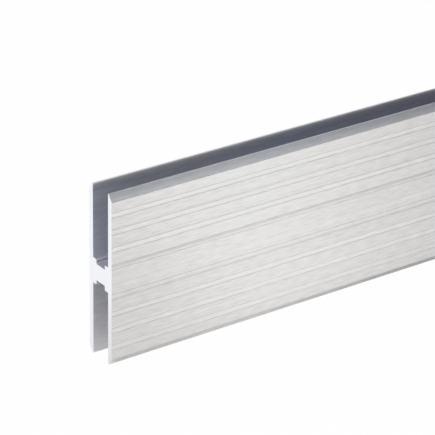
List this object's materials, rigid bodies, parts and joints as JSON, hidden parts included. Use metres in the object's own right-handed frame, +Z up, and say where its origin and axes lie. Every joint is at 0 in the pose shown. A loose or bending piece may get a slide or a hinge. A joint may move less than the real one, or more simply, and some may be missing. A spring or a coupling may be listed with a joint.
{
  "type": "aluminium h-section extrusion profile",
  "caption": "Extruded aluminium H-section bar: upright flanges joined by a thick web, with an open panel slot above and below it, chamfered tips and finely grooved outer faces.",
  "frame": {"origin": "floor level under the middle of the bar, where it stands on its lower flange tips", "axes": "+X along the bar, +Y across it from flange to flange, +Z up from the lower slot to the upper one"},
  "size_m": [1, 0.0108, 0.05],
  "materials": {
    "aluminium": "mill finish, drawn along the bar, with bright saw-cut ends"
  },
  "bodies": {
    "root": {"h_profile": "aluminium"}
  },
  "joints": []
}
